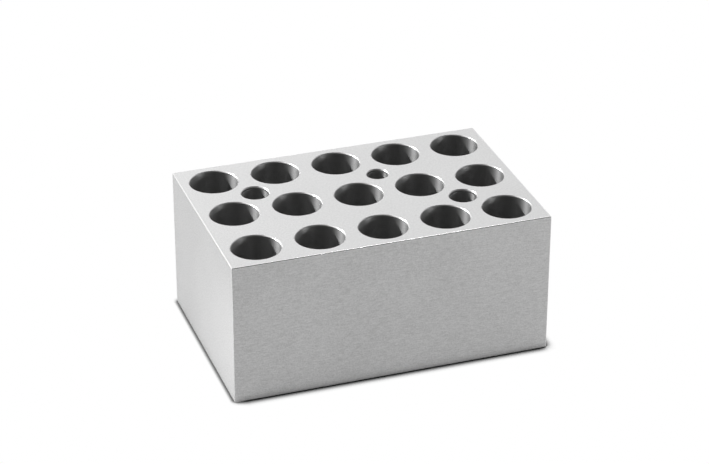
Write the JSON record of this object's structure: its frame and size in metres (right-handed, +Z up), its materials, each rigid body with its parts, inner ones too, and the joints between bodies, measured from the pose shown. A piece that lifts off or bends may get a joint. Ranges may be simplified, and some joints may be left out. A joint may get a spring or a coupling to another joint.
{
  "type": "heat block insert",
  "caption": "Solid rectangular aluminium heating block with a grid of round blind wells for tubes and smaller holes for a probe and thermometer, open at the top.",
  "frame": {"origin": "centre of the base, on the surface that the block stands on", "axes": "+X along the block's length, to the right seen from the front; +Y across it, from front to back; +Z up, out of the wells"},
  "size_m": [0.11, 0.0712, 0.05],
  "materials": {
    "aluminium": "bare milled aluminium, fine lengthwise grain on the sides, bored wells with bright broken edges"
  },
  "bodies": {
    "root": {"heat_block": "aluminium"}
  },
  "joints": []
}
